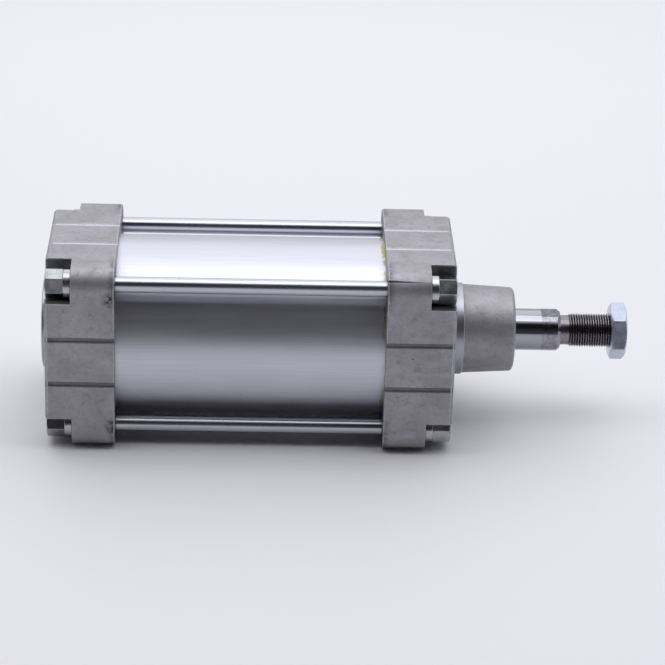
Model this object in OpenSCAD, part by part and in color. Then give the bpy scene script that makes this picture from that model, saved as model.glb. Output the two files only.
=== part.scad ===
// Double-acting pneumatic cylinder with round barrel, square end caps and four tie rods.
// Units are millimetres. The origin is on the cylinder's axis, in the mounting face of
// the front cap. +X runs out along the piston rod and +Z is up.

/* [Main sizes] */
// Inside diameter of the barrel
bore = 100; // [80:1:100]
// Working stroke of the piston
stroke = 100; // [50:5:400]
// How far the rod is already pulled out in the rest position
rod_out = 14.9; // [0.5:0.1:45]
// Outside diameter of the barrel
barrel_od = 106; // [104:0.5:108]
// How deep the barrel sits in each cap
barrel_seat = 3; // [1:0.5:5]

/* [End caps] */
// Width and height of the square caps
cap_size = 114; // [110:0.5:120]
// Depth of a cap along the axis
cap_depth = 40.5; // [36:0.5:50]
// Corner radius of the caps
cap_corner = 12.5; // [4:0.5:14]
// Chamfer round the mounting face
cap_chamfer = 1.6; // [0.5:0.1:3]
// Length of the round pilot that enters the barrel
pilot_length = 5.5; // [3:0.5:8]
// Depth of the corner notches that hold the tie-rod nuts
notch_depth = 15.3; // [12:0.1:18]
// Radius of the round pocket in a notch
notch_radius = 9.3; // [9:0.1:11]
// Half the width of a notch where it opens to the sides
notch_opening = 7.8; // [7:0.1:9]
// Distance of the cast grooves from the middle of each side
groove_offset = 14.1; // [10:0.1:20]
// Width of the cast grooves, which have a round floor
groove_width = 3.6; // [2:0.1:5]
// Depth of the cast grooves
groove_depth = 1; // [0.5:0.1:1.4]
// How far the front grooves stop short of the mounting face
groove_stop = 2; // [0:0.5:6]

/* [Nose and spigots] */
// Diameter of the turned centring spigots
spigot_d = 55; // [50:0.5:60]
// Length of the front spigot
front_spigot = 7.3; // [4:0.1:10]
// Length of the rear spigot
rear_spigot = 4; // [3:0.5:6]
// Diameter of the cast nose where it leaves the spigot
nose_d = 53.2; // [50:0.1:54.8]
// Overall length of the nose
nose_length = 37.8; // [34:0.1:42]
// Draft angle of the cast nose
nose_draft = 3; // [0:0.5:4]
// Fillet at the end of the nose
nose_fillet = 2.5; // [1:0.5:4]

/* [Tie rods] */
// Distance between neighbouring tie rods
rod_pitch = 89; // [86:0.5:92]
// Diameter of the plain tie-rod shank
tie_rod_d = 9.4; // [8.8:0.1:9.8]
// Size of the free mounting thread in the nuts
tie_thread_d = 10; // [10:0.5:10.5]
// Width across flats of the tie-rod nuts
tie_nut_af = 15; // [14:0.5:16]
// Length of the hexagon of a tie-rod nut
tie_nut_hex = 10.4; // [8:0.1:12]
// Length of the nut's round shank inside the cap
tie_nut_shank = 20; // [12:1:24]
// Outside diameter of the washers under the nuts
washer_d = 17.6; // [16:0.1:18.2]
// Depth of the free mounting thread in the nuts
mount_thread_depth = 20; // [16:0.5:22]

/* [Piston rod] */
// Diameter of the piston rod
rod_d = 25; // [25:1:25]
// Distance from mounting face to rod shoulder when the rod is in
shoulder_in = 51; // [51:0.5:60]
// Width across the two wrench flats
flat_af = 22; // [20:0.5:24]
// Length of the wrench flats
flat_length = 11.5; // [8:0.5:16]
// Chamfer at the rod shoulder
shoulder_chamfer = 1.9; // [1:0.1:2.5]
// Diameter of the rod thread
rod_thread_d = 20; // [18:0.5:20]
// Length from shoulder to rod end
rod_thread_length = 39.4; // [30:0.1:60]
// Diameter of the thread relief
relief_d = 17.7; // [16:0.1:18]
// Length of the thread relief
relief_length = 4.7; // [2:0.1:6]
// Width across flats of the lock nut
rod_nut_af = 30; // [27:0.5:30]
// Thickness of the lock nut
rod_nut_thickness = 9.6; // [8:0.1:16]

/* [Ports and cushioning] */
// Thread diameter of the air ports
port_d = 20.96; // [13:0.01:21]
// Depth of the port thread
port_depth = 16; // [12:0.5:18]
// Distance of the port from the mounting face
port_x = 21; // [20:0.5:24]
// Diameter of the cushion sleeves
sleeve_d = 36; // [32:0.5:38]
// Length of the cushion sleeves
sleeve_length = 24; // [18:0.5:26]
// Diameter of the cushion chambers
chamber_d = 40; // [38:0.5:44]
// Distance of the cushion screw from the mounting face
screw_x = 24; // [22:0.5:28]
// Height of the cushion screw above the axis
screw_z = 24; // [20:0.5:27]

/* [Hidden] */
$fn = 96;
eps = 0.5;
fit = 0.05;
stop_gap = 0.3;
half = cap_size / 2;
bore_r = bore / 2;
rod_r = rod_d / 2;
tie_c = rod_pitch / 2;
body_length = 138 + stroke;
rear_x = -body_length;
front_inner = -cap_depth;
rear_inner = rear_x + cap_depth;
front_stop = front_inner - pilot_length;
rear_stop = rear_inner + pilot_length;
piston_length = front_stop - rear_stop - stroke - 2 * stop_gap;
// Rear face of the piston in the rest position
piston_x = rear_stop + stop_gap + rod_out;
piston_front_x = piston_x + piston_length;
piston_r = bore_r - 0.5;
// The two halves of the piston meet here, measured from the rear face
piston_split = 27;
stem_r = 10;
end_r = 8;
chamber_r = chamber_d / 2;
front_chamber_end = -19;
rear_chamber_end = rear_x + 10;
bush_r = 16;
bush_end = 27;
seal_r = 17.5;
shoulder_x = shoulder_in + rod_out;
rod_end_x = shoulder_x + rod_thread_length;
rod_nut_x = rod_end_x - rod_nut_thickness;
flat_x = shoulder_x - flat_length;
shank_r = 7;
tie_hole_r = 5.5;
// The tie rods end this far behind the mounting faces
tie_end = mount_thread_depth + 2;
screw_hole_r = 4.5;
corners = [[-1, 1], [1, 1], [-1, -1], [1, -1]];
// Turn of each hexagon about its own axis, in the order of the corners list
front_hex_turn = [22, 8, 17, -12];
rear_hex_turn = [-12, 21, -25, 5];
rod_nut_turn = -14;

// Shared shapes

// Solid or hollow round bar along X, from a to b
module bar_x(a, b, r, r_in = 0) {
  translate([a, 0, 0]) rotate([0, 90, 0]) {
    if (r_in > 0) {
      difference() {
        cylinder(h = b - a, r = r);
        translate([0, 0, -eps]) cylinder(h = b - a + 2 * eps, r = r_in);
      }
    } else {
      cylinder(h = b - a, r = r);
    }
  }
}

// Body of revolution about X; the profile's points are [radius, x]
module turned_x(points) {
  rotate([0, 90, 0]) rotate_extrude() polygon(points);
}

// Flat shape in Y and Z, pushed along X from a to b
module slab_x(a, b) {
  translate([a, 0, 0]) rotate([90, 0, 90]) linear_extrude(height = b - a) children();
}

// Round bar along +Y, from a to b, through [x, z]
module bar_y(x, z, a, b, r) {
  translate([x, a, z]) rotate([-90, 0, 0]) cylinder(h = b - a, r = r);
}

// O-ring about X with its centre at x
module ring_x(x, r, cord) {
  translate([x, 0, 0]) rotate([0, 90, 0]) rotate_extrude() translate([r, 0]) circle(r = cord, $fn = 32);
}

// Hexagon bar along X with chamfered ends; the amounts are axial
module hex_x(a, b, af, turn, chamfer_a, chamfer_b) {
  ac = af / 2 / cos(30);
  face_r = af / 2 * 0.96;
  over = ac + 1;
  slope_a = chamfer_a / (ac - face_r);
  slope_b = chamfer_b / (ac - face_r);
  intersection() {
    rotate([turn, 0, 0]) translate([a, 0, 0]) rotate([0, 90, 0]) cylinder(h = b - a, r = ac, $fn = 6);
    turned_x([[0, a], [face_r, a], [over, a + (over - face_r) * slope_a],
              [over, b - (over - face_r) * slope_b], [face_r, b], [0, b]]);
  }
}

module square_outline() {
  square([cap_size - 2 * cap_corner, cap_size], center = true);
  square([cap_size, cap_size - 2 * cap_corner], center = true);
  for (c = corners)
    translate([c[0] * (half - cap_corner), c[1] * (half - cap_corner)]) circle(r = cap_corner);
}

// One corner notch, drawn for the corner at +Y +Z
module notch_outline() {
  reach = half - tie_c + 4;
  translate([tie_c, tie_c]) {
    circle(r = notch_radius);
    translate([-notch_opening, 0]) square([notch_opening + reach, reach]);
    translate([0, -notch_opening]) square([reach, notch_opening + reach]);
  }
}

module corner_notches(a, b) {
  for (c = corners)
    slab_x(a, b) mirror([c[0] < 0 ? 1 : 0, 0]) mirror([0, c[1] < 0 ? 1 : 0]) notch_outline();
}

// Two grooves on each of the four sides; rise is how far a groove's centre lies outside the side
module side_grooves(a, b) {
  rise = (groove_width * groove_width / 4 - groove_depth * groove_depth) / (2 * groove_depth);
  for (turn = [0, 90, 180, 270])
    for (s = [-1, 1])
      rotate([turn, 0, 0])
        translate([0, s * groove_offset, half + rise])
          bar_x(a, b, rise + groove_depth);
}

// Chamfer along the four straight sides of a mounting face; dir is +1 for the front
module face_chamfers(x, dir) {
  size = cap_chamfer * sqrt(2);
  for (turn = [0, 90, 180, 270])
    rotate([turn, 0, 0])
      translate([x, 0, half])
        rotate([0, 45, 0])
          cube([size, cap_size, size], center = true);
}

module tie_holes(a, b, r) {
  for (c = corners)
    translate([0, c[0] * tie_c, c[1] * tie_c]) bar_x(a, b, r);
}

// Air port on the back side, its channel, and the cushion screw's bore and passages
module air_ways(port_at, channel_at, screw_at, inner_face) {
  bar_y(port_at, 0, half - port_depth, half + eps, port_d / 2);
  bar_y(port_at, 0, half - 0.6, half + eps, 14.5);
  bar_y(channel_at, 0, chamber_r - 4, half - port_depth + eps, 5.4);
  bar_y(screw_at, screw_z, 30, half + eps, screw_hole_r);
  translate([screw_at, 12.5, 11]) rotate([-54, 0, 0]) cylinder(h = 24, r = 1.3);
  translate([min(screw_at, inner_face) - eps, 34, screw_z])
    rotate([0, 90, 0]) cylinder(h = abs(screw_at - inner_face) + eps, r = 1.3);
}

// Socket for one end of the barrel, with the pilot and its ring groove left standing
module barrel_socket(face_x, dir) {
  floor_x = face_x + dir * barrel_seat;
  mouth_x = face_x - dir * eps;
  bar_x(min(floor_x, mouth_x), max(floor_x, mouth_x), barrel_od / 2 + 0.2, bore_r - fit);
}

module pilot_groove(mid) {
  bar_x(mid - 1.5, mid + 1.5, bore_r + eps, bore_r - 2.6);
}

// Parts

module front_cap() {
  r_spigot = spigot_d / 2;
  r_nose = nose_d / 2;
  drop = tan(nose_draft);
  fx = nose_length - nose_fillet;
  fr = r_nose - (fx - front_spigot) * drop - nose_fillet / cos(nose_draft);
  color([0.66, 0.67, 0.69]) difference() {
    union() {
      slab_x(front_inner, 0) square_outline();
      bar_x(front_stop, front_inner + eps, bore_r - fit);
      turned_x([[0, -1], [r_spigot, -1], [r_spigot, front_spigot - 0.6],
                [r_spigot - 0.6, front_spigot], [0, front_spigot]]);
      rotate([0, 90, 0]) rotate_extrude() {
        polygon([[0, front_spigot - 1], [r_nose, front_spigot - 1], [r_nose, front_spigot],
                 [fr + nose_fillet * cos(nose_draft), fx + nose_fillet * sin(nose_draft)],
                 [fr, nose_length], [0, nose_length]]);
        translate([fr, fx]) circle(r = nose_fillet);
      }
    }
    corner_notches(-notch_depth, eps);
    side_grooves(front_inner - eps, -groove_stop);
    face_chamfers(0, 1);
    tie_holes(front_inner - eps, 0, tie_hole_r);
    tie_holes(-notch_depth - tie_nut_shank, 0, shank_r + 0.1);
    barrel_socket(front_inner, 1);
    pilot_groove(front_inner - 2.75);
    bar_x(front_stop - eps, front_chamber_end, chamber_r);
    bar_x(front_inner - 2.5, front_inner + 4.5, sleeve_d / 2 + 6);
    bar_x(front_chamber_end - eps, bush_end, bush_r);
    bar_x(bush_end, nose_length + eps, seal_r);
    air_ways(-port_x, -port_x - 3.7, -screw_x, front_stop);
  }
}

module rear_cap() {
  r_spigot = spigot_d / 2;
  color([0.66, 0.67, 0.69]) difference() {
    union() {
      slab_x(rear_x, rear_inner) square_outline();
      bar_x(rear_inner - eps, rear_stop, bore_r - fit);
      turned_x([[0, rear_x + 1], [r_spigot, rear_x + 1], [r_spigot, rear_x - rear_spigot + 0.6],
                [r_spigot - 0.6, rear_x - rear_spigot], [0, rear_x - rear_spigot]]);
    }
    corner_notches(rear_x - eps, rear_x + notch_depth);
    side_grooves(rear_x + groove_stop, rear_inner + eps);
    face_chamfers(rear_x, -1);
    tie_holes(rear_x, rear_inner + eps, tie_hole_r);
    tie_holes(rear_x, rear_x + notch_depth + tie_nut_shank, shank_r + 0.1);
    barrel_socket(rear_inner, -1);
    pilot_groove(rear_inner + 2.75);
    bar_x(rear_chamber_end, rear_stop + eps, chamber_r);
    bar_x(rear_inner - 4.5, rear_inner + 2.5, sleeve_d / 2 + 6);
    turned_x([[0, rear_x - rear_spigot - eps], [17.5, rear_x - rear_spigot - eps],
              [16.5, rear_x + 2], [0, rear_x + 2]]);
    air_ways(rear_x + port_x, rear_x + port_x + 3.7, rear_x + screw_x, rear_stop);
  }
}

module barrel() {
  color([0.78, 0.79, 0.82])
    bar_x(rear_inner - barrel_seat, front_inner + barrel_seat, barrel_od / 2, bore_r);
}

module tie_rod(i) {
  c = corners[i];
  r = tie_rod_d / 2;
  a = rear_x + tie_end;
  b = -tie_end;
  color([0.80, 0.82, 0.85]) translate([0, c[0] * tie_c, c[1] * tie_c])
    turned_x([[0, a], [r - 1, a], [r, a + 1], [r, b - 1], [r - 1, b], [0, b]]);
}

// Sleeve nut; dir is +1 when its open end faces +X
module tie_nut(x, dir, turn) {
  gap = 0.3;
  outer = x - dir * gap;
  seat = outer - dir * tie_nut_hex;
  inner = x - dir * (notch_depth + tie_nut_shank);
  floor_x = x - dir * mount_thread_depth;
  difference() {
    union() {
      hex_x(min(outer, seat), max(outer, seat), tie_nut_af, turn, dir > 0 ? 0.15 : 0.7, dir > 0 ? 0.7 : 0.15);
      bar_x(min(inner, seat + dir), max(inner, seat + dir), shank_r);
    }
    bar_x(min(inner, outer) - eps, max(inner, outer) + eps, tie_rod_d / 2 + fit);
    bar_x(min(floor_x, outer + dir * eps), max(floor_x, outer + dir * eps), tie_thread_d / 2);
    turned_x(dir > 0
      ? [[0, outer - 5.6], [5.6, outer], [5.6, outer + eps], [0, outer + eps]]
      : [[0, outer + 5.6], [5.6, outer], [5.6, outer - eps], [0, outer - eps]]);
  }
}

module front_tie_nuts() {
  color([0.74, 0.76, 0.79])
    for (i = [0:3])
      translate([0, corners[i][0] * tie_c, corners[i][1] * tie_c]) tie_nut(0, 1, front_hex_turn[i]);
}

module rear_tie_nuts() {
  color([0.74, 0.76, 0.79])
    for (i = [0:3])
      translate([0, corners[i][0] * tie_c, corners[i][1] * tie_c]) tie_nut(rear_x, -1, rear_hex_turn[i]);
}

// Washer about X from a to b, with broken edges
module washer(a, b) {
  r = washer_d / 2;
  r_in = shank_r + 0.15;
  c = 0.35;
  turned_x([[r_in, a], [r - c, a], [r, a + c], [r, b - c], [r - c, b], [r_in, b]]);
}

module front_washers() {
  color([0.84, 0.85, 0.87])
    for (c = corners)
      translate([0, c[0] * tie_c, c[1] * tie_c]) washer(-notch_depth, -0.3 - tie_nut_hex);
}

module rear_washers() {
  color([0.84, 0.85, 0.87])
    for (c = corners)
      translate([0, c[0] * tie_c, c[1] * tie_c]) washer(rear_x + 0.3 + tie_nut_hex, rear_x + notch_depth);
}

module front_barrel_seal() {
  color([0.10, 0.10, 0.11]) ring_x(front_inner - 2.75, bore_r - 1.3, 1.25);
}

module rear_barrel_seal() {
  color([0.10, 0.10, 0.11]) ring_x(rear_inner + 2.75, bore_r - 1.3, 1.25);
}

module rod_bush() {
  c = 0.8;
  r_in = rod_r + fit;
  r = bush_r - 0.02;
  a = front_chamber_end + 2;
  color([0.62, 0.48, 0.28])
    turned_x([[r_in + c, a], [r - c, a], [r, a + c], [r, bush_end - c], [r - c, bush_end],
              [r_in + c, bush_end], [r_in, bush_end - c], [r_in, a + c]]);
}

// One-piece rod seal and wiper; its lip shows round the rod at the end of the nose
module rod_seal() {
  r_in = rod_r + 0.03;
  r = seal_r - 0.02;
  a = bush_end + 0.2;
  b = nose_length;
  color([0.13, 0.14, 0.17])
    turned_x([[r_in + 2.6, a], [r, a], [r, b - 0.5], [r - 1.8, b - 0.5], [r_in + 1.2, b - 2.2],
              [r_in + 0.5, b + 0.3], [r_in, b + 0.3], [r_in, b - 1.4], [r_in + 1, b - 3],
              [r_in + 1, a + 4.5], [r_in, a + 2.4], [r_in, a], [r_in + 0.6, a],
              [r_in + 1.5, a + 2.5]]);
}

// Lip ring that the cushion sleeve enters
module cushion_seal(mid) {
  r_in = sleeve_d / 2 + 0.06;
  r = sleeve_d / 2 + 5.9;
  a = mid - 3.4;
  b = mid + 3.4;
  turned_x([[r_in + 1.2, a], [r, a], [r, b], [r_in + 1.2, b], [r_in, b - 1.4], [r_in, a + 1.4]]);
}

module front_cushion_seal() {
  color([0.12, 0.20, 0.16]) cushion_seal(front_inner + 1);
}

module rear_cushion_seal() {
  color([0.12, 0.20, 0.16]) cushion_seal(rear_inner - 1);
}

// Slotted needle screw along Y, seen from the back side
module cushion_screw(x) {
  r = screw_hole_r - 0.08;
  difference() {
    translate([x, 0, screw_z]) rotate([-90, 0, 0]) rotate_extrude()
      polygon([[0, 31.5], [1.1, 33.5], [1.8, 34], [1.8, 38], [r, 39], [r, 42], [2.9, 42],
               [2.9, 44.6], [r, 44.6], [r, 55.5], [r - 0.5, 56], [0, 56]]);
    translate([x, 56, screw_z]) cube([1.2, 3.6, 12], center = true);
  }
}

module front_cushion_screw() {
  color([0.72, 0.60, 0.36]) cushion_screw(-screw_x);
}

module rear_cushion_screw() {
  color([0.72, 0.60, 0.36]) cushion_screw(rear_x + screw_x);
}

module screw_ring(x) {
  translate([x, 43.3, screw_z]) rotate([90, 0, 0]) rotate_extrude()
    translate([3.7, 0]) circle(r = 0.74, $fn = 32);
}

module front_screw_ring() {
  color([0.10, 0.10, 0.11]) screw_ring(-screw_x);
}

module rear_screw_ring() {
  color([0.10, 0.10, 0.11]) screw_ring(rear_x + screw_x);
}

// Lip seal of the piston; the lips point along dir from x
module piston_lip(x, dir) {
  base = 40.05;
  lip = bore_r - fit;
  turned_x([for (p = [[base, 0], [lip - 0.7, 0], [lip, 4.6], [lip, 6.6], [lip - 2.3, 6.6],
                      [lip - 3.3, 3.6], [base + 3.3, 3.6], [base + 2.3, 6.6], [base, 6.6]])
            [p[0], x + dir * p[1]]]);
}

module piston_rear_seal() {
  color([0.14, 0.22, 0.17]) piston_lip(piston_x + 10.8, -1);
}

module piston_front_seal() {
  color([0.14, 0.22, 0.17]) piston_lip(piston_front_x - 10.8, 1);
}

module piston_guide_ring() {
  color([0.30, 0.28, 0.24])
    bar_x(piston_x + 13.6, piston_x + 23.4, bore_r - 0.06, 47.05);
}

module piston_rear_half() {
  a = piston_x;
  color([0.70, 0.71, 0.73]) difference() {
    bar_x(a, a + piston_split, piston_r, stem_r + fit);
    bar_x(a + 4, a + 11, piston_r + 1, 40);
    bar_x(a + 13.5, a + 23.5, piston_r + 1, 47);
    bar_x(a - eps, a + 2.5, 34, sleeve_d / 2 + 4);
  }
}

module piston_front_half() {
  a = piston_x + piston_split;
  b = piston_front_x;
  color([0.70, 0.71, 0.73]) difference() {
    bar_x(a, b, piston_r, stem_r + fit);
    bar_x(b - 11, b - 4, piston_r + 1, 40);
    bar_x(a - eps, a + 4.5, 48.6, 42);
    bar_x(a - eps, a + 2.1, 12.2);
    bar_x(b - 2.5, b + eps, 34, sleeve_d / 2 + 4);
  }
}

module piston_magnet() {
  a = piston_x + piston_split;
  color([0.18, 0.18, 0.19]) bar_x(a + 0.1, a + 4.4, 48.5, 42.1);
}

module piston_ring() {
  color([0.10, 0.10, 0.11]) ring_x(piston_x + piston_split + 1.05, stem_r + 1.12, 1.02);
}

module cushion_sleeve(a, b, lead_a, lead_b) {
  r = sleeve_d / 2;
  r_in = stem_r + fit;
  turned_x([[r_in, a], [r - lead_a / 2, a], [r, a + lead_a * 1.5], [r, b - lead_b * 1.5],
            [r - lead_b / 2, b], [r_in, b]]);
}

module rear_cushion_sleeve() {
  color([0.72, 0.73, 0.75]) cushion_sleeve(piston_x - sleeve_length, piston_x, 1.6, 0.2);
}

module front_cushion_sleeve() {
  color([0.72, 0.73, 0.75])
    cushion_sleeve(piston_front_x, piston_front_x + sleeve_length, 0.2, 1.6);
}

module piston_rod() {
  thread_r = rod_thread_d / 2;
  stem_end = piston_x - sleeve_length + 2;
  tail = piston_x - sleeve_length - 8.6;
  neck = piston_front_x + sleeve_length;
  color([0.82, 0.83, 0.85]) difference() {
    turned_x([[0, tail], [end_r - 1, tail], [end_r, tail + 1], [end_r, stem_end],
              [stem_r - 0.5, stem_end], [stem_r, stem_end + 0.5], [stem_r, neck], [rod_r, neck],
              [rod_r, shoulder_x - shoulder_chamfer], [rod_r - shoulder_chamfer * 0.75, shoulder_x],
              [relief_d / 2, shoulder_x], [relief_d / 2, shoulder_x + relief_length],
              [thread_r, shoulder_x + relief_length + thread_r - relief_d / 2],
              [thread_r, rod_end_x - 1.3], [thread_r - 1.3, rod_end_x], [0, rod_end_x]]);
    for (s = [-1, 1])
      translate([flat_x, -rod_r - eps, s > 0 ? flat_af / 2 : -flat_af / 2 - 3])
        cube([flat_length + eps, 2 * rod_r + 2 * eps, 3]);
    turned_x([[0, rod_end_x - 5.5], [1, rod_end_x - 4], [1, rod_end_x - 2.2],
              [2.4, rod_end_x + 0.2], [0, rod_end_x + 0.2]]);
  }
}

module piston_nut() {
  b = piston_x - sleeve_length;
  color([0.45, 0.46, 0.48]) difference() {
    hex_x(b - 8, b, 24, 0, 1, 0.2);
    bar_x(b - 8 - eps, b + eps, end_r + fit);
  }
}

module rod_nut() {
  a = rod_nut_x;
  b = rod_end_x;
  r_in = rod_thread_d / 2 + fit;
  color([0.76, 0.79, 0.83]) difference() {
    hex_x(a, b, rod_nut_af, rod_nut_turn, 1.45, 1.45);
    bar_x(a - eps, b + eps, r_in);
    turned_x([[0, a - eps], [r_in + 1.2, a - eps], [r_in + 0.7, a], [r_in, a + 0.7], [0, a + 0.7]]);
    turned_x([[0, b - 0.7], [r_in, b - 0.7], [r_in + 0.7, b], [r_in + 1.2, b + eps], [0, b + eps]]);
  }
}

rear_cap();
front_cap();
barrel();
tie_rod(0);  // tie_rod_1
tie_rod(1);  // tie_rod_2
tie_rod(2);  // tie_rod_3
tie_rod(3);  // tie_rod_4
front_tie_nuts();
rear_tie_nuts();
front_washers();
rear_washers();
front_barrel_seal();
rear_barrel_seal();
rod_bush();
rod_seal();
front_cushion_seal();
rear_cushion_seal();
front_cushion_screw();
rear_cushion_screw();
front_screw_ring();
rear_screw_ring();
piston_rear_seal();
piston_front_seal();
piston_guide_ring();
piston_rod();
piston_rear_half();
piston_front_half();
piston_magnet();
piston_ring();
rear_cushion_sleeve();
front_cushion_sleeve();
piston_nut();
rod_nut();
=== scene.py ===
import math

import bmesh
import bpy
from mathutils import Matrix, Vector


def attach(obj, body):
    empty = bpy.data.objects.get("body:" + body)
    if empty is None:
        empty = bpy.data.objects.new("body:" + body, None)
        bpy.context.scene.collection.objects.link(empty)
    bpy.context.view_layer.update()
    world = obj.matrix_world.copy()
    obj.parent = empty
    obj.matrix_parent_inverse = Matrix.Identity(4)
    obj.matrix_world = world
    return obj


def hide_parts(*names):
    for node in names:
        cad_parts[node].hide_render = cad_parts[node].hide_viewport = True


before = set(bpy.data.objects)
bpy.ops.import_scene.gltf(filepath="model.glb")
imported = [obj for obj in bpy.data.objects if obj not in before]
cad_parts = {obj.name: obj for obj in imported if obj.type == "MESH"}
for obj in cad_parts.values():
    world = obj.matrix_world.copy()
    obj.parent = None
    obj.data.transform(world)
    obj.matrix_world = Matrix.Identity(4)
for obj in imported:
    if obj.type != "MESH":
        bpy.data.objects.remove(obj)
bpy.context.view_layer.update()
SCENE = bpy.context.scene
SCENE.view_settings.view_transform = "Standard"

MM = 0.001
CAP_HALF = 57 * MM
CAP_DEPTH = 40.5 * MM
REAR_X = -238 * MM
TIE_C = 44.5 * MM
NOTCH = 15.3 * MM
SPIGOT_R = 27.5 * MM
SHOULDER_X = 65.9 * MM
THREAD_START = SHOULDER_X + 4.7 * MM
ROD_END = 105.3 * MM
THREAD_R = 10.0 * MM
THREAD_PITCH = 1.5 * MM
ROOT_R = 9.08 * MM
GROOVE_NEAR = 12.0 * MM
GROOVE_FAR = 16.2 * MM
POCKET_WALL = 33.0 * MM
TUBE_ENDS = (-200.5 * MM, -37.5 * MM)
TUBE_R = (50 * MM, 53 * MM)
TIE_ROD_ENDS = (-216 * MM, -22 * MM)
TIE_ROD_R = 4.7 * MM
FLAT_Z = 11 * MM
FLOOR_Z = -57 * MM
CORNERS = ((-1, 1), (1, 1), (-1, -1), (1, -1))
FLATS_START = 54.4 * MM
CHIPPED = (-24 * MM, -57 * MM, 5 * MM)
STAIN_HIGH = (-198.8 * MM, -56.3 * MM, 39.5 * MM)
STAIN_LOW = (-198.5 * MM, -55 * MM, -41 * MM)


# Materials

class Nodes:
    """A short way to write a node tree."""

    def __init__(self, name, world=False):
        self.owner = bpy.data.worlds.new(name) if world else bpy.data.materials.new(name)
        self.owner.use_nodes = True
        self.tree = self.owner.node_tree
        self.tree.nodes.clear()

    def add(self, kind, inputs=None, **props):
        node = self.tree.nodes.new(kind)
        for key, value in props.items():
            setattr(node, key, value)
        for key, value in (inputs or {}).items():
            self.set(node.inputs[key], value)
        return node

    def set(self, socket, value):
        if isinstance(value, bpy.types.NodeSocket):
            self.tree.links.new(value, socket)
        else:
            socket.default_value = value

    def place(self, scale=(1, 1, 1)):
        coord = self.add("ShaderNodeTexCoord")
        return self.add("ShaderNodeMapping", {0: coord.outputs["Object"], "Scale": scale}).outputs[0]

    def noise(self, scale, detail=4, rough=0.55, stretch=(1, 1, 1), distortion=0.0):
        inputs = {"Vector": self.place(stretch), "Scale": scale, "Detail": detail,
                  "Roughness": rough, "Distortion": distortion}
        node = self.add("ShaderNodeTexNoise", inputs)
        return node.outputs["Fac"]

    def frame_xyz(self):
        """X, Y and Z of the part's frame at rest, in metres."""
        coord = self.add("ShaderNodeTexCoord")
        return self.add("ShaderNodeSeparateXYZ", {0: coord.outputs["Object"]}).outputs

    def near(self, point, inner, outer):
        """1 closer than inner to a point of the frame, 0 beyond outer."""
        coord = self.add("ShaderNodeTexCoord")
        inputs = {0: coord.outputs["Object"], 1: point}
        node = self.add("ShaderNodeVectorMath", inputs, operation="DISTANCE")
        return self.span(node.outputs["Value"], inner, outer, 1, 0)

    def pits(self, scale, size):
        """1 in small scattered pits, 0 elsewhere."""
        inputs = {"Vector": self.place(), "Scale": scale, "Randomness": 1.0}
        node = self.add("ShaderNodeTexVoronoi", inputs)
        return self.span(node.outputs["Distance"], size, 0.0, 0.0, 1.0)

    def span(self, value, low, high, to_low, to_high, smooth=True):
        node = self.add("ShaderNodeMapRange", {"Value": value, "From Min": low, "From Max": high,
                                               "To Min": to_low, "To Max": to_high})
        node.interpolation_type = "SMOOTHSTEP" if smooth else "LINEAR"
        return node.outputs[0]

    def math(self, operation, a, b=0.0):
        return self.add("ShaderNodeMath", {0: a, 1: b}, operation=operation).outputs[0]

    def length(self, a, b):
        squares = self.math("ADD", self.math("MULTIPLY", a, a), self.math("MULTIPLY", b, b))
        return self.math("SQRT", squares)

    def from_middle(self, place):
        """Distance along X from the middle between the two mounting faces."""
        return self.math("ABSOLUTE", self.math("SUBTRACT", place["X"], 0.5 * REAR_X))

    def mix(self, factor, a, b):
        node = self.add("ShaderNodeMix", {"Factor": factor}, data_type="RGBA")
        self.set(node.inputs[6], a)
        self.set(node.inputs[7], b)
        return node.outputs[2]

    def bump(self, height, strength, distance, normal=None):
        inputs = {"Height": height, "Strength": strength, "Distance": distance}
        if normal is not None:
            inputs["Normal"] = normal
        return self.add("ShaderNodeBump", inputs).outputs[0]

    def surface(self, **inputs):
        shader = self.add("ShaderNodeBsdfPrincipled")
        for key, value in inputs.items():
            self.set(shader.inputs[key.replace("_", " ")], value)
        out = self.add("ShaderNodeOutputMaterial")
        self.tree.links.new(shader.outputs[0], out.inputs["Surface"])
        return self.owner


def rgb(r, g, b):
    return (r, g, b, 1.0)


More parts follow.
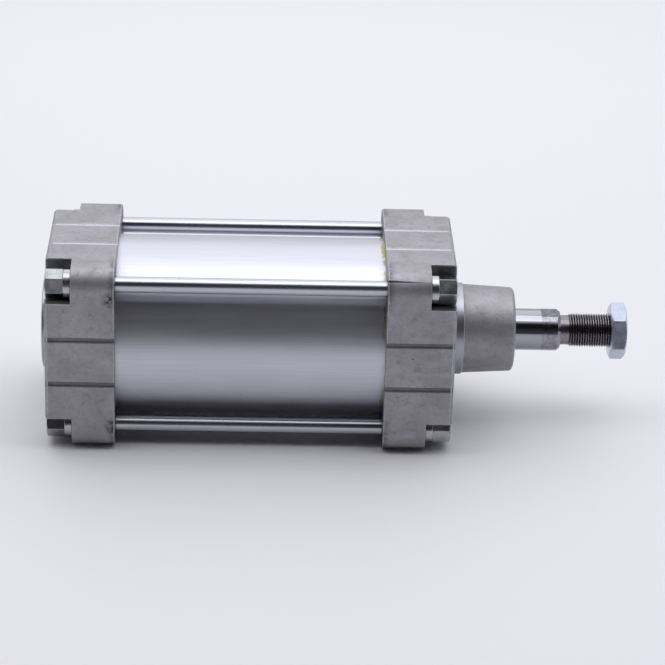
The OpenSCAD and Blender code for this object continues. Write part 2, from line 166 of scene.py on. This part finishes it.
def cast_aluminium():
    """Blasted die casting: grain, mottling, pits, handling marks, chips, stains and grime round the tie
    rods; painted shade on the nut pockets' walls and the front and back groove floors, painted highlight
    on the top and bottom groove floors.
    """
    n = Nodes("cast_aluminium_look")
    cloud = n.noise(38, 5, 0.65, distortion=0.6)
    streak = n.noise(120, 5, 0.6, stretch=(0.25, 1, 1))
    mottle = n.noise(260, 5, 0.7, distortion=0.5)
    speck = n.noise(800, 3, 0.7)
    grain = n.noise(2600, 3, 0.7)
    scuff = n.span(n.noise(150, 6, 0.75, stretch=(1, 1, 0.6), distortion=1.2), 0.60, 0.76, 0, 1)
    pits = n.math("MULTIPLY", n.pits(420, 0.20), n.span(n.noise(40, 2), 0.50, 0.60, 0, 1))
    chips = n.math("MULTIPLY", n.pits(520, 0.42), n.near(CHIPPED, 0.0015, 0.0048))
    color = n.mix(n.span(cloud, 0.34, 0.66, 0, 1), rgb(0.335, 0.325, 0.335), rgb(0.405, 0.40, 0.43))
    color = n.mix(n.span(streak, 0.55, 0.72, 0, 0.45), color, rgb(0.50, 0.49, 0.56))
    color = n.mix(n.span(n.noise(55, 3), 0.56, 0.70, 0, 0.5), color, rgb(0.42, 0.39, 0.35))
    color = n.mix(n.span(mottle, 0.52, 0.72, 0, 0.55), color, rgb(0.24, 0.235, 0.27))
    color = n.mix(n.span(speck, 0.52, 0.70, 0, 0.35), color, rgb(0.22, 0.22, 0.25))
    color = n.mix(n.math("MULTIPLY", scuff, 0.4), color, rgb(0.20, 0.19, 0.21))
    color = n.mix(n.math("MULTIPLY", pits, 0.8), color, rgb(0.07, 0.07, 0.08))
    color = n.mix(n.math("MULTIPLY", chips, 0.9), color, rgb(0.03, 0.03, 0.035))
    stains = n.math("MAXIMUM", n.near(STAIN_HIGH, 0.0015, 0.008), n.near(STAIN_LOW, 0.002, 0.007))
    blotch = n.noise(330, 5, 0.7, distortion=1.0)
    stains = n.math("MULTIPLY", stains, n.span(blotch, 0.40, 0.56, 0.1, 0.95))
    # Painted shade: the groove floors in the front and back faces are coloured dark.
    color = n.mix(n.math("MULTIPLY", grooves(n, "Y", "Z"), 0.6), color, rgb(0.10, 0.09, 0.11))
    # Painted highlight: the groove floors in the top and bottom faces are coloured light.
    color = n.mix(n.math("MULTIPLY", grooves(n, "Z", "Y"), 0.7), color, rgb(0.62, 0.62, 0.70))
    color = n.mix(stains, color, rgb(0.03, 0.03, 0.04))
    # Painted shade: the walls of the nut pockets are coloured near black, in patches.
    color = n.mix(pocket_painted_shade(n), color, rgb(0.065, 0.07, 0.075))
    color = n.mix(n.math("MULTIPLY", tie_rod_grime(n), 0.85), color, rgb(0.05, 0.05, 0.055))
    rough = n.span(mottle, 0.3, 0.7, 0.42, 0.56)
    normal = n.bump(grain, 0.55, 0.00009)
    normal = n.bump(speck, 0.45, 0.00015, normal)
    normal = n.bump(mottle, 0.40, 0.00030, normal)
    normal = n.bump(n.math("SUBTRACT", 1.0, n.math("MAXIMUM", pits, chips)), 0.6, 0.0002, normal)
    return n.surface(Base_Color=color, Metallic=0.7, Roughness=rough, Normal=normal)


def grooves(n, face, across):
    """1 on the floors of the grooves in the sides that face along face; they are spaced along across."""
    place = n.frame_xyz()
    out, off = n.math("ABSOLUTE", place[face]), n.math("ABSOLUTE", place[across])
    sunk = n.math("MULTIPLY", n.span(out, CAP_HALF - 0.7 * MM, CAP_HALF - 0.15 * MM, 1, 0),
                  n.span(out, CAP_HALF - 1.3 * MM, CAP_HALF - 1.1 * MM, 0, 1))
    inside = n.math("MULTIPLY", n.span(off, GROOVE_NEAR, GROOVE_NEAR + 0.6 * MM, 0, 1),
                    n.span(off, GROOVE_FAR - 0.6 * MM, GROOVE_FAR, 1, 0))
    return n.math("MULTIPLY", sunk, inside)


def pocket_painted_shade(n):
    """Painted shade on the walls of the pockets that hold the tie-rod nuts."""
    place = n.frame_xyz()
    side_y, side_z = n.math("ABSOLUTE", place["Y"]), n.math("ABSOLUTE", place["Z"])
    inward = n.span(n.math("MAXIMUM", side_y, side_z), CAP_HALF - 1.3 * MM, CAP_HALF - 0.3 * MM, 1, 0)
    corner = n.span(n.math("MINIMUM", side_y, side_z), POCKET_WALL, POCKET_WALL + 1.5 * MM, 0, 1)
    end = n.from_middle(place)
    half = -0.5 * REAR_X
    ends = n.math("MULTIPLY", n.span(end, half - NOTCH - 0.4 * MM, half - NOTCH, 0, 1),
                  n.span(end, half - 1.5 * MM, half - 0.2 * MM, 1, 0.3))
    patchy = n.span(n.noise(120, 4, 0.6), 0.3, 0.7, 0.65, 0.95)
    return n.math("MULTIPLY", n.math("MULTIPLY", inward, corner), n.math("MULTIPLY", ends, patchy))


def tie_rod_grime(n):
    """1 where oily dirt gathers round the tie rods at the caps' inner faces, 0 elsewhere."""
    place = n.frame_xyz()
    off_y = n.math("SUBTRACT", n.math("ABSOLUTE", place["Y"]), TIE_C)
    off_z = n.math("SUBTRACT", n.math("ABSOLUTE", place["Z"]), TIE_C)
    reach = n.length(off_y, off_z)
    half_gap = -0.5 * REAR_X - CAP_DEPTH
    depth = n.math("SUBTRACT", n.from_middle(place), half_gap)
    close = n.math("MULTIPLY", n.span(reach, 0.009, 0.019, 1, 0), n.span(depth, 0.0, 0.0055, 1, 0))
    return n.math("MULTIPLY", close, n.span(n.noise(260, 5, 0.7, distortion=0.8), 0.34, 0.52, 0, 1))


def painted_edge_highlight():
    """Painted highlight: rounded edges coloured brighter than the faces beside them."""
    n = Nodes("painted_edge_highlight_look")
    highlight_patches = n.noise(420, 4, 0.65)
    color = n.mix(n.span(highlight_patches, 0.35, 0.65, 0, 1), rgb(0.35, 0.35, 0.375), rgb(0.49, 0.49, 0.525))
    return n.surface(Base_Color=color, Metallic=0.7, Roughness=n.span(highlight_patches, 0.35, 0.65, 0.52, 0.40),
                     Normal=n.bump(n.noise(1500, 3, 0.7), 0.4, 0.0001))


def turned_aluminium():
    """Fine rings left by the lathe, on faces that turn about the X axis."""
    n = Nodes("turned_aluminium_look")
    rings = n.noise(900, 2, 0.5, stretch=(6, 0.02, 0.02))
    color = n.mix(n.noise(60, 3), rgb(0.40, 0.40, 0.44), rgb(0.48, 0.48, 0.52))
    rough = n.span(rings, 0.3, 0.7, 0.30, 0.42)
    return n.surface(Base_Color=color, Metallic=1.0, Roughness=rough, Normal=n.bump(rings, 0.5, 0.00003))


def anodised_tube():
    """Satin anodised drawn tube: draw lines, smudges, specks and grease at the front joint."""
    n = Nodes("anodised_tube_look")
    draw = n.noise(800, 3, 0.6, stretch=(0.02, 1, 1))
    micro = n.noise(4500, 2, 0.6)
    smudge = n.noise(22, 4, 0.6, stretch=(0.5, 1, 1))
    specks = n.math("MULTIPLY", n.pits(70, 0.055), n.span(n.noise(30, 2), 0.58, 0.62, 0, 1))
    color = n.mix(n.span(draw, 0.3, 0.7, 0, 1), rgb(0.58, 0.58, 0.635), rgb(0.625, 0.63, 0.675))
    color = n.mix(n.math("MULTIPLY", specks, 0.8), color, rgb(0.10, 0.09, 0.09))
    greasy = joint_grease(n)
    color = n.mix(greasy, color, rgb(0.36, 0.35, 0.07))
    rough = n.math("ADD", n.span(smudge, 0.3, 0.7, 0.35, 0.42), n.span(draw, 0.3, 0.7, -0.015, 0.015))
    normal = n.bump(draw, 0.16, 0.00002)
    normal = n.bump(micro, 0.12, 0.00002, normal)
    return n.surface(Base_Color=color, Metallic=0.94, Roughness=rough, Normal=normal)


def joint_grease(n):
    """Yellow-green grease squeezed out where the barrel enters the front cap."""
    along = n.frame_xyz()["X"]
    edge = n.math("ADD", -CAP_DEPTH, n.span(n.noise(110, 4, 0.6), 0.35, 0.65, -2.4 * MM, 0.1 * MM))
    line = n.span(n.math("SUBTRACT", along, edge), -0.5 * MM, 0.3 * MM, 0, 1)
    return n.math("MULTIPLY", line, n.span(n.noise(45, 3), 0.40, 0.60, 0.15, 0.85))


def zinc(name, tint, shade, rough_low, rough_high, stretch, stained):
    """Bright zinc plating: cloudy between two tints, with drawing lines and faint stains."""
    n = Nodes(name)
    cloud = n.noise(130, 4, 0.6, stretch=stretch)
    fine = n.noise(2600, 3, 0.6, stretch=stretch)
    stain = n.span(n.noise(300, 5, 0.7), 0.60, 0.76, 0, stained)
    color = n.mix(n.span(cloud, 0.35, 0.65, 0, 1), rgb(*shade), rgb(*tint))
    color = n.mix(stain, color, rgb(0.20, 0.19, 0.20))
    rough = n.span(cloud, 0.3, 0.7, rough_low, rough_high)
    return n.surface(Base_Color=color, Metallic=1.0, Roughness=rough, Normal=n.bump(fine, 0.25, 0.00003))


def chromed_rod():
    """Ground and chromed, nearly a mirror; duller and scuffed between the wrench flats."""
    n = Nodes("chromed_rod_look")
    grind = n.noise(1500, 3, 0.6, stretch=(4, 0.05, 0.05))
    wipe = n.noise(70, 4, 0.6)
    scuff = n.noise(400, 5, 0.7)
    used = n.span(n.frame_xyz()["X"], FLATS_START, FLATS_START + 0.2 * MM, 0, 1)
    color = n.mix(wipe, rgb(0.35, 0.35, 0.385), rgb(0.40, 0.40, 0.44))
    dull = n.mix(n.span(scuff, 0.35, 0.65, 0, 1), rgb(0.22, 0.215, 0.24), rgb(0.36, 0.355, 0.39))
    color = n.mix(used, color, dull)
    rough = n.math("ADD", n.span(wipe, 0.35, 0.7, 0.04, 0.07), n.span(grind, 0.4, 0.7, 0, 0.02))
    rough = n.math("ADD", rough, n.math("MULTIPLY", used, n.span(scuff, 0.3, 0.7, 0.06, 0.16)))
    return n.surface(Base_Color=color, Metallic=1.0, Roughness=rough,
                     Normal=n.bump(grind, 0.10, 0.00001))


def milled_steel():
    """Wrench flats and the shoulder: cutter lines and a duller face than the chrome."""
    n = Nodes("milled_steel_look")
    lines = n.noise(1100, 2, 0.5, stretch=(0.25, 3, 1))
    scuff = n.span(n.noise(260, 5, 0.65), 0.35, 0.65, 0, 1)
    color = n.mix(scuff, rgb(0.15, 0.145, 0.165), rgb(0.27, 0.265, 0.29))
    rough = n.span(lines, 0.3, 0.7, 0.24, 0.36)
    return n.surface(Base_Color=color, Metallic=1.0, Roughness=rough, Normal=n.bump(lines, 0.4, 0.00003))


def oiled_and_shaded_steel():
    """Thread and relief: painted highlight on the crests and painted shade in the roots, the relief
    lifted part way; darker patches of old oil.
    """
    n = Nodes("oiled_and_shaded_steel_look")
    patchy = n.noise(200, 4, 0.6)
    place = n.frame_xyz()
    reach = n.length(place["Y"], place["Z"])
    crest = n.span(reach, THREAD_R - 0.75 * MM, THREAD_R - 0.15 * MM, 0, 1)
    relief = n.span(place["X"], THREAD_START + 0.3 * MM, THREAD_START + 0.9 * MM, 0.55, 0)
    bright = n.math("MAXIMUM", crest, relief)
    # Painted highlight and shade: crests coloured light, roots dark, the relief in between.
    color = n.mix(bright, rgb(0.045, 0.038, 0.048), rgb(0.44, 0.42, 0.46))
    color = n.mix(n.span(patchy, 0.35, 0.65, 0, 0.4), color, rgb(0.12, 0.11, 0.12))
    return n.surface(Base_Color=color, Metallic=1.0, Roughness=n.span(patchy, 0.3, 0.7, 0.20, 0.32),
                     Normal=n.bump(patchy, 0.12, 0.00003))


def plain_metal(name, low, high, rough):
    """Turned pieces that sit inside."""
    n = Nodes(name)
    rings = n.noise(1000, 2, 0.5, stretch=(5, 0.05, 0.05))
    color = n.mix(n.noise(90, 4), rgb(*low), rgb(*high))
    gloss = n.span(rings, 0.3, 0.7, rough, rough + 0.12)
    return n.surface(Base_Color=color, Metallic=1.0, Roughness=gloss, Normal=n.bump(rings, 0.4, 0.00003))


def soft_part(name, low, high, rough):
    """Rubber and plastic rings: mould grain and a faint bloom."""
    n = Nodes(name)
    grain = n.noise(2400, 3, 0.6)
    color = n.mix(n.noise(140, 5, 0.6), rgb(*low), rgb(*high))
    gloss = n.span(grain, 0.3, 0.7, rough, rough + 0.12)
    return n.surface(Base_Color=color, Metallic=0.0, Roughness=gloss, Normal=n.bump(grain, 0.3, 0.00004))


CAST = cast_aluminium()
TURNED = turned_aluminium()
TUBE = anodised_tube()
EDGE = painted_edge_highlight()
TIE_ROD = zinc("zinc_rod_look", (0.55, 0.57, 0.60), (0.46, 0.46, 0.53), 0.18, 0.27, (0.04, 1, 1), 0.3)
TIE_NUT = zinc("zinc_tie_nut_look", (0.50, 0.53, 0.52), (0.38, 0.38, 0.42), 0.16, 0.28, (1, 1, 1), 0.25)
NUT = zinc("zinc_nut_look", (0.50, 0.57, 0.64), (0.47, 0.48, 0.59), 0.20, 0.32, (1, 1, 1), 0.12)
CHROME = chromed_rod()
MILLED = milled_steel()
OILED_AND_SHADED = oiled_and_shaded_steel()
BRONZE = plain_metal("bronze_look", (0.42, 0.28, 0.13), (0.52, 0.36, 0.18), 0.32)
BRASS = plain_metal("brass_look", (0.60, 0.44, 0.20), (0.70, 0.54, 0.27), 0.22)
DARK_STEEL = plain_metal("dark_steel_look", (0.18, 0.18, 0.19), (0.28, 0.28, 0.30), 0.30)
RUBBER = soft_part("rubber_look", (0.012, 0.012, 0.013), (0.025, 0.025, 0.026), 0.45)
SEAL = soft_part("seal_look", (0.020, 0.024, 0.026), (0.035, 0.040, 0.042), 0.38)
GUIDE = soft_part("guide_look", (0.10, 0.085, 0.065), (0.15, 0.13, 0.10), 0.50)
MAGNET = soft_part("magnet_look", (0.03, 0.03, 0.032), (0.05, 0.05, 0.052), 0.55)

CAD_LOOKS = {
    "rod_bush": BRONZE, "front_barrel_seal": RUBBER, "rear_barrel_seal": RUBBER,
    "front_cushion_seal": SEAL, "rear_cushion_seal": SEAL,
    "front_screw_ring": RUBBER, "rear_screw_ring": RUBBER,
    "piston_rear_seal": SEAL, "piston_front_seal": SEAL, "piston_guide_ring": GUIDE,
    "piston_rear_half": TURNED, "piston_front_half": TURNED,
    "piston_magnet": MAGNET, "piston_ring": RUBBER, "piston_nut": DARK_STEEL,
    "rear_cushion_sleeve": TURNED, "front_cushion_sleeve": TURNED,
}
for node, look in CAD_LOOKS.items():
    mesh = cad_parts[node].data
    mesh.materials.clear()
    mesh.materials.append(look)


# Mesh tools

def finish_mesh(name, bm, looks, body, node, sharp_deg=32, bevel=None):
    """Turns bm into a shaded object that rides on body and stands for node.

    bevel(edge middle, edge direction) gives the width in metres to which a sharp edge is rounded, or 0.
    """
    limit = math.radians(sharp_deg)
    widest = 0.0
    if bevel:
        layer = bm.edges.layers.float.new("bevel_weight_edge")
        for edge in bm.edges:
            if len(edge.link_faces) == 2 and edge.calc_face_angle(0.0) > math.radians(12):
                width = bevel((edge.verts[0].co + edge.verts[1].co) / 2,
                              (edge.verts[1].co - edge.verts[0].co).normalized())
                if width > 0:
                    edge[layer] = width / MM
                    widest = max(widest, width)
    for edge in bm.edges:
        rolled = bevel and edge[layer] > 0
        edge.smooth = rolled or (len(edge.link_faces) == 2 and edge.calc_face_angle(0.0) < limit)
    for face in bm.faces:
        face.smooth = True
    mesh = bpy.data.meshes.new(name)
    bm.to_mesh(mesh)
    bm.free()
    for look in looks:
        mesh.materials.append(look)
    obj = bpy.data.objects.new(name, mesh)
    bpy.context.collection.objects.link(obj)
    if widest > 0:
        roll = obj.modifiers.new("rounding", "BEVEL")
        roll.limit_method = "WEIGHT"
        roll.width = MM
        roll.segments = 3
        roll.use_clamp_overlap = False
        roll.miter_outer = "MITER_ARC"
    weigh = obj.modifiers.new("normals", "WEIGHTED_NORMAL")
    weigh.keep_sharp = True
    weigh.weight = 80
    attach(obj, body)
    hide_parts(node)
    return obj


def clean_copy(node):
    """The CAD node's surface with its flat facets joined into whole faces."""
    bm = bmesh.new()
    bm.from_mesh(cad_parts[node].data)
    for layer in list(bm.loops.layers.uv):
        bm.loops.layers.uv.remove(layer)
    bmesh.ops.remove_doubles(bm, verts=bm.verts, dist=2e-6)
    bmesh.ops.dissolve_limit(bm, angle_limit=math.radians(0.3), verts=bm.verts, edges=bm.edges)
    return bm


def radius(p):
    return math.hypot(p.y, p.z)


def lathe(points, segments, center=(0, 0)):
    """A closed profile of (x, radius) points turned about an axis along X."""
    bm = bmesh.new()
    rings = []
    for k in range(segments):
        turn = 2 * math.pi * k / segments
        c, s = math.cos(turn), math.sin(turn)
        rings.append([bm.verts.new((x, center[0] + r * c, center[1] + r * s)) for x, r in points])
    count = len(points)
    for k in range(segments):
        a, b = rings[k], rings[(k + 1) % segments]
        for i in range(count):
            j = (i + 1) % count
            if points[i][1] > 0 or points[j][1] > 0:
                bm.faces.new((a[i], a[j], b[j], b[i]))
    bmesh.ops.remove_doubles(bm, verts=bm.verts, dist=1e-7)
    bmesh.ops.recalc_face_normals(bm, faces=bm.faces)
    return bm


def rounded(points, steps=4):
    """Profile of (x, r, fillet) corners with each fillet drawn as a short arc."""
    out = []
    count = len(points)
    for i in range(count):
        here = Vector(points[i][:2])
        fillet = points[i][2] if len(points[i]) > 2 else 0
        if fillet <= 0:
            out.append(tuple(here))
            continue
        to_prev = (Vector(points[i - 1][:2]) - here).normalized()
        to_next = (Vector(points[(i + 1) % count][:2]) - here).normalized()
        half = to_prev.angle(to_next) / 2
        reach = fillet / math.tan(half)
        mid = here + (to_prev + to_next).normalized() * (fillet / math.sin(half))
        start, end = here + to_prev * reach - mid, here + to_next * reach - mid
        sweep = start.angle(end)
        for k in range(steps + 1):
            t = k / steps
            spoke = (start * math.sin((1 - t) * sweep) + end * math.sin(t * sweep)) / math.sin(sweep)
            out.append(tuple(mid + spoke))
    return out


def screw_thread(profile, radii, start, end, pitch, segments, fade):
    """A ridge that winds about the X axis.

    profile is (along, out): along in pitches, out from 0 at radii[0] to 1 at radii[1].
    """
    turns = (end - start) / pitch
    steps = max(8, int(turns * segments))
    bm = bmesh.new()
    previous = None
    for k in range(steps + 1):
        turn = 2 * math.pi * turns * k / steps
        x = start + (end - start) * k / steps
        gone = min(1.0, min(k, steps - k) / (fade * segments) + 0.02)
        ring = []
        for along, out in profile:
            r = radii[0] + (radii[1] - radii[0]) * out * gone
            ring.append(bm.verts.new((x + along * pitch, r * math.cos(turn), r * math.sin(turn))))
        if previous:
            for i in range(len(ring)):
                j = (i + 1) % len(ring)
                bm.faces.new((previous[i], previous[j], ring[j], ring[i]))
        else:
            bm.faces.new(ring)
        previous = ring
    bm.faces.new(previous)
    bmesh.ops.recalc_face_normals(bm, faces=bm.faces)
    return bm


# End caps

def near_tie_rod(p, reach):
    return math.hypot(abs(p.y) - TIE_C, abs(p.z) - TIE_C) < reach


TIE_HOLE_REACH = 7.6 * MM
# Depth, height and reach of the port and of the cushion screw in the far side.
PORT_AND_SCREW = ((21 * MM, 0.0, 16 * MM), (24 * MM, 24 * MM, 6 * MM))


def cap_rounding(p, way, face_x, out):
    """Cast radius in metres for an edge of a cap; out is +1 for the front cap.

    Machined edges stay sharp. Of the grooves, only the long edges away from the far side are rounded.
    """
    side, other = max(abs(p.y), abs(p.z)), min(abs(p.y), abs(p.z))
    depth = (face_x - p.x) * out
    if depth < -0.1 * MM or depth > CAP_DEPTH + 0.1 * MM or near_tie_rod(p, TIE_HOLE_REACH):
        return 0.0
    if side < 36 * MM or (side < 53.5 * MM and depth > CAP_DEPTH - 4 * MM):
        return 0.0
    for port_depth, port_z, reach in PORT_AND_SCREW:
        if p.y > 38 * MM and math.hypot(depth - port_depth, p.z - port_z) < reach:
            return 0.0
    if side > 55 * MM and GROOVE_NEAR < other < GROOVE_FAR:
        return 0.32 * MM if abs(way.x) > 0.5 and p.y < 50 * MM else 0.0
    if depth > CAP_DEPTH - 0.1 * MM:
        return 0.8 * MM
    if other > 30 * MM and depth > NOTCH - 0.1 * MM:
        return 0.4 * MM
    if abs(depth) < 0.1 * MM:
        return 0.4 * MM
    if 1.4 * MM < depth < 1.8 * MM and abs(way.x) < 0.5:
        return 0.3 * MM
    return 0.35 * MM if other > 30 * MM else 0.0


for cap, face_x, out in (("front_cap", 0.0, 1), ("rear_cap", REAR_X, -1)):
    bm = clean_copy(cap)
    for face in bm.faces:
        p = face.calc_center_median()
        spigot = (p.x - face_x) * out > 0 and abs(radius(p) - SPIGOT_R) < 0.7 * MM
        face.material_index = 1 if spigot else 0
    casting = finish_mesh(cap + "_casting", bm, (CAST, TURNED, EDGE), "housing", cap,
                          bevel=lambda p, way: cap_rounding(p, way, face_x, out))
    # The rounded faces take EDGE, coloured brighter as a painted edge highlight.
    casting.modifiers["rounding"].material = 2  # EDGE


# Barrel and tie rods

bm = lathe(rounded([(TUBE_ENDS[0], TUBE_R[0], 0.3 * MM), (TUBE_ENDS[0], TUBE_R[1], 0.3 * MM),
                    (TUBE_ENDS[1], TUBE_R[1], 0.3 * MM), (TUBE_ENDS[1], TUBE_R[0], 0.3 * MM)]), 256)
finish_mesh("barrel_tube", bm, (TUBE,), "housing", "barrel")

for index, (y, z) in enumerate(CORNERS):
    tail, head = TIE_ROD_ENDS
    bm = lathe(rounded([(tail, 0), (tail, TIE_ROD_R, 0.8 * MM), (head, TIE_ROD_R, 0.8 * MM), (head, 0)]),
               72, (y * TIE_C, z * TIE_C))
    finish_mesh(f"tie_rod_bar_{index + 1}", bm, (TIE_ROD,), "housing",
                f"tie_rod_{index + 1}")

for end, x in (("front", 0.0), ("rear", REAR_X)):
    def nut_edge(p, way, face_x=x):
        """Rounds a nut's outer edges near the mounting face, but not its socket."""
        return 0.2 * MM if abs(p.x - face_x) < 11 * MM and not near_tie_rod(p, 5.8 * MM) else 0

    bm = clean_copy(f"{end}_tie_nuts")
    finish_mesh(f"{end}_tie_nut_set", bm, (TIE_NUT,), "housing", f"{end}_tie_nuts",
                bevel=nut_edge)
    bm = clean_copy(f"{end}_washers")
    finish_mesh(f"{end}_washer_set", bm, (TIE_NUT,), "housing", f"{end}_washers",
                bevel=lambda p, way: 0.12 * MM)


# Rod, thread and lock nut

# The plain cylinder that stands for the thread shrinks to the root, and the ridge goes round it.
bm = clean_copy("piston_rod")
for vert in bm.verts:
    if vert.co.x > THREAD_START + 0.3 * MM and 9.5 * MM < radius(vert.co) < THREAD_R + 0.1 * MM:
        shrink = (ROOT_R - 0.1 * MM) / radius(vert.co)
        vert.co.y *= shrink
        vert.co.z *= shrink
for face in bm.faces:
    p = face.calc_center_median()
    level = abs(face.normal.z) > 0.95 and abs(abs(p.z) - FLAT_Z) < 0.3 * MM
    flat = level and FLATS_START < p.x < SHOULDER_X
    shoulder = p.x > SHOULDER_X - 0.3 * MM
    face.material_index = 2 if p.x > SHOULDER_X + 0.1 * MM else 1 if flat or shoulder else 0


def rod_edge(p, way):
    """Breaks the edges of the wrench flats and the shoulder."""
    return 0.15 * MM if 50 * MM < p.x < THREAD_START and radius(p) > 9.5 * MM else 0


finish_mesh("rod_shaft", bm, (CHROME, MILLED, OILED_AND_SHADED), "rod", "piston_rod", bevel=rod_edge)

RIDGE = [(-0.44, -0.15), (-0.44, 0.0), (-0.0625, 1.0), (0.0625, 1.0), (0.44, 0.0), (0.44, -0.15)]
bm = screw_thread(RIDGE, (ROOT_R, THREAD_R), THREAD_START + 1.0 * MM, ROD_END - 1.0 * MM,
                  THREAD_PITCH, 72, 0.5)
finish_mesh("rod_thread", bm, (OILED_AND_SHADED,), "rod", "piston_rod", 40)

bm = clean_copy("rod_nut")
finish_mesh("lock_nut_body", bm, (NUT,), "lock_nut", "rod_nut",
            bevel=lambda p, way: 0.25 * MM if radius(p) > 12 * MM else 0)

bm = clean_copy("rod_seal")
finish_mesh("rod_wiper", bm, (SEAL,), "housing", "rod_seal",
            bevel=lambda p, way: 0.15 * MM if p.x > 36 * MM else 0)

for end in ("front", "rear"):
    bm = clean_copy(f"{end}_cushion_screw")
    finish_mesh(f"{end}_needle_screw", bm, (BRASS,), f"{end}_needle",
                f"{end}_cushion_screw",
                bevel=lambda p, way: 0.12 * MM if p.y > 54 * MM else 0)


# Camera: focal length in pixels of a 665-pixel square picture

SENSOR_MM = 36.0
IMAGE_PX = 665.0
FOCAL_PX = 2746.4
DISTANCE = 1.6462
AZIMUTH, ELEVATION, ROLL = (math.radians(a) for a in (-1.892, 24.919, 1.766))
TARGET = Vector((-0.06991, 0.0, -0.00437))
back = Vector((math.sin(AZIMUTH) * math.cos(ELEVATION), -math.cos(AZIMUTH) * math.cos(ELEVATION),
               math.sin(ELEVATION)))
right = Vector((math.cos(AZIMUTH), math.sin(AZIMUTH), 0))
up = back.cross(right)
right_r = right * math.cos(ROLL) + up * math.sin(ROLL)
up_r = up * math.cos(ROLL) - right * math.sin(ROLL)
camera_data = bpy.data.cameras.new("camera")
camera_data.sensor_width = SENSOR_MM
camera_data.lens = FOCAL_PX / IMAGE_PX * SENSOR_MM
camera_data.clip_start = 0.05
camera_data.clip_end = 60
camera = bpy.data.objects.new("camera", camera_data)
bpy.context.collection.objects.link(camera)
turn = Matrix((right_r, up_r, back)).transposed()
camera.matrix_world = Matrix.Translation(TARGET + back * DISTANCE) @ turn.to_4x4()
SCENE.camera = camera


# Floor and light

n = Nodes("floor_look")
soft = n.noise(3, 3, 0.5)
grain = n.noise(900, 3, 0.5)
pale = n.mix(soft, rgb(0.83, 0.83, 0.855), rgb(0.85, 0.85, 0.875))
# Painted light: the floor is coloured lighter towards the back.
pale = n.mix(n.span(n.frame_xyz()["Y"], 0.05, 0.85, 0, 1), pale, rgb(0.97, 0.965, 0.99))
FLOOR = n.surface(Base_Color=pale, Roughness=0.55,
                  Normal=n.bump(grain, 0.05, 0.00005), Specular_IOR_Level=0.3)
bm = bmesh.new()
bmesh.ops.create_grid(bm, x_segments=8, y_segments=8, size=8.0)
mesh = bpy.data.meshes.new("floor")
bm.to_mesh(mesh)
bm.free()
mesh.materials.append(FLOOR)
floor = bpy.data.objects.new("floor", mesh)
floor.location.z = FLOOR_Z - 0.00005
bpy.context.collection.objects.link(floor)


def softbox(name, place, aim, size_x, size_y, power, color):
    data = bpy.data.lights.new(name, "AREA")
    data.shape = "RECTANGLE"
    data.size = size_x
    data.size_y = size_y
    data.energy = power
    data.color = color
    obj = bpy.data.objects.new(name, data)
    obj.location = place
    obj.rotation_euler = (Vector(aim) - Vector(place)).to_track_quat("-Z", "Y").to_euler()
    bpy.context.collection.objects.link(obj)


softbox("overhead", (-0.07, -0.02, 1.0), (-0.07, -0.02, 0.0), 1.9, 0.63, 5.95, (0.935, 0.935, 1.0))
softbox("rear_sky", (-0.07, 0.95, 1.05), (-0.07, 0.25, 0.0), 2.2, 1.1, 4.9, (0.94, 0.945, 1.0))

n = Nodes("studio", world=True)
coord = n.add("ShaderNodeTexCoord")
parts = n.add("ShaderNodeSeparateXYZ", {0: coord.outputs["Generated"]})
lean = n.math("ADD", parts.outputs[1], n.math("MULTIPLY", parts.outputs[2], 0.6))
ramp = n.add("ShaderNodeValToRGB", {0: n.span(lean, -1.0, 1.2, 0.0, 1.0, smooth=False)})
VIOLET, BLUISH = (1.0, 0.94, 1.16), (0.95, 0.955, 1.0)
stops = ((0.0, 0.10, VIOLET), (0.11, 0.055, VIOLET), (0.24, 0.015, VIOLET), (0.40, 0.02, VIOLET),
         (0.436, 0.10, BLUISH), (0.48, 0.33, BLUISH), (0.53, 0.78, BLUISH), (0.58, 0.92, BLUISH),
         (0.72, 0.62, BLUISH), (0.90, 0.80, BLUISH))
while len(ramp.color_ramp.elements) < len(stops):
    ramp.color_ramp.elements.new(0.5)
for element, (place, level, tint) in zip(ramp.color_ramp.elements, stops):
    element.position = place
    element.color = tuple(level * t for t in tint) + (1,)
sky = n.add("ShaderNodeBackground", {"Color": ramp.outputs[0], "Strength": 1.0})
n.tree.links.new(sky.outputs[0], n.add("ShaderNodeOutputWorld").inputs["Surface"])
SCENE.world = n.owner
